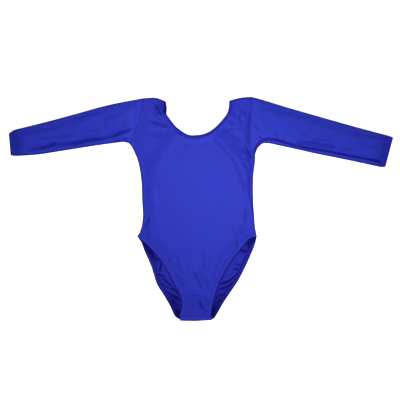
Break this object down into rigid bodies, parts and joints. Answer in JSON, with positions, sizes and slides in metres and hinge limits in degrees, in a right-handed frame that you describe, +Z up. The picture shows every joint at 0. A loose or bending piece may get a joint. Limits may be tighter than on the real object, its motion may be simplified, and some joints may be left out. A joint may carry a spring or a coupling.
{
  "type": "leotard",
  "caption": "Child's long-sleeved stretch leotard with scoop neck, banded neck and leg edges and hemmed cuffs, laid flat on its back.",
  "frame": {"origin": "on the surface that the garment lies on, under the middle of its outline", "axes": "+X along the sleeves to the viewer's right, +Y from the crotch to the neck, +Z up from the surface through the back to the front"},
  "size_m": [0.9216, 0.5378, 0.0055],
  "materials": {
    "stretch_cloth": "shiny nylon and spandex knit, royal blue",
    "hem_cloth": "two thicknesses of the same knit, royal blue",
    "elastic_band": "the same knit turned over an elastic, royal blue"
  },
  "bodies": {
    "root": {"front": "stretch_cloth", "back": "stretch_cloth", "sleeve_left": "stretch_cloth", "sleeve_right": "stretch_cloth", "cuff_left": "hem_cloth", "cuff_right": "hem_cloth", "neck_band_front": "elastic_band", "neck_band_back": "elastic_band", "leg_band_left_front": "elastic_band", "leg_band_left_back": "elastic_band", "leg_band_right_front": "elastic_band", "leg_band_right_back": "elastic_band"}
  },
  "joints": []
}
